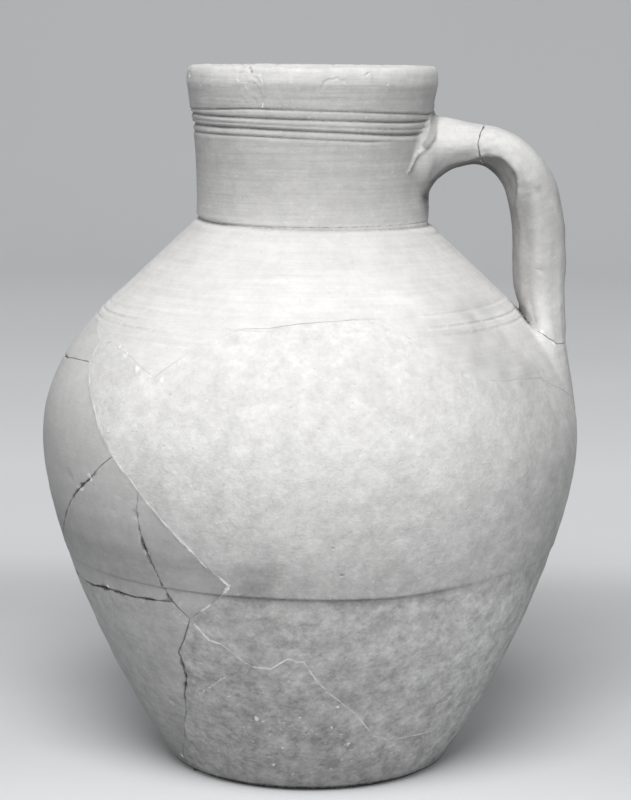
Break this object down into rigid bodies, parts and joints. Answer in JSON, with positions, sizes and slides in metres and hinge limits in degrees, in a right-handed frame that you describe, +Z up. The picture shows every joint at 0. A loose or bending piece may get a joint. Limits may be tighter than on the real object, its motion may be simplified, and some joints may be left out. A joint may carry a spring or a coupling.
{
  "type": "mended pottery jug",
  "caption": "Unglazed wheel-thrown pottery jug with a wide neck, a grooved rim and one strap handle, mended from its fired sherds.",
  "frame": {"origin": "middle of the flat foot, on the surface that the jug stands on", "axes": "+Z up along the axis of the jug, +X towards the handle, -Y towards the front of the picture"},
  "size_m": [0.213, 0.213, 0.2777],
  "materials": {
    "smooth_clay": "matt, wiped smooth on the wheel, with fine turning lines",
    "handle_clay": "matt, pulled by hand, with dents and pits",
    "grey_clay": "matt, smooth, a shade darker",
    "rough_clay": "matt, weathered and pitted",
    "mend_filler": "matt, pale plaster wiped flush with the wall"
  },
  "bodies": {
    "root": {"neck_and_shoulder": "smooth_clay", "rim_left_sherd": "smooth_clay", "handle_grip": "handle_clay", "shoulder_left_sherd": "grey_clay", "belly_front_sherd": "rough_clay", "belly_back_sherd": "rough_clay", "side_round_sherd": "grey_clay", "side_wedge_sherd": "grey_clay", "side_point_sherd": "grey_clay", "base_left_sherd": "grey_clay", "base_front_sherd": "rough_clay"}
  },
  "joints": []
}
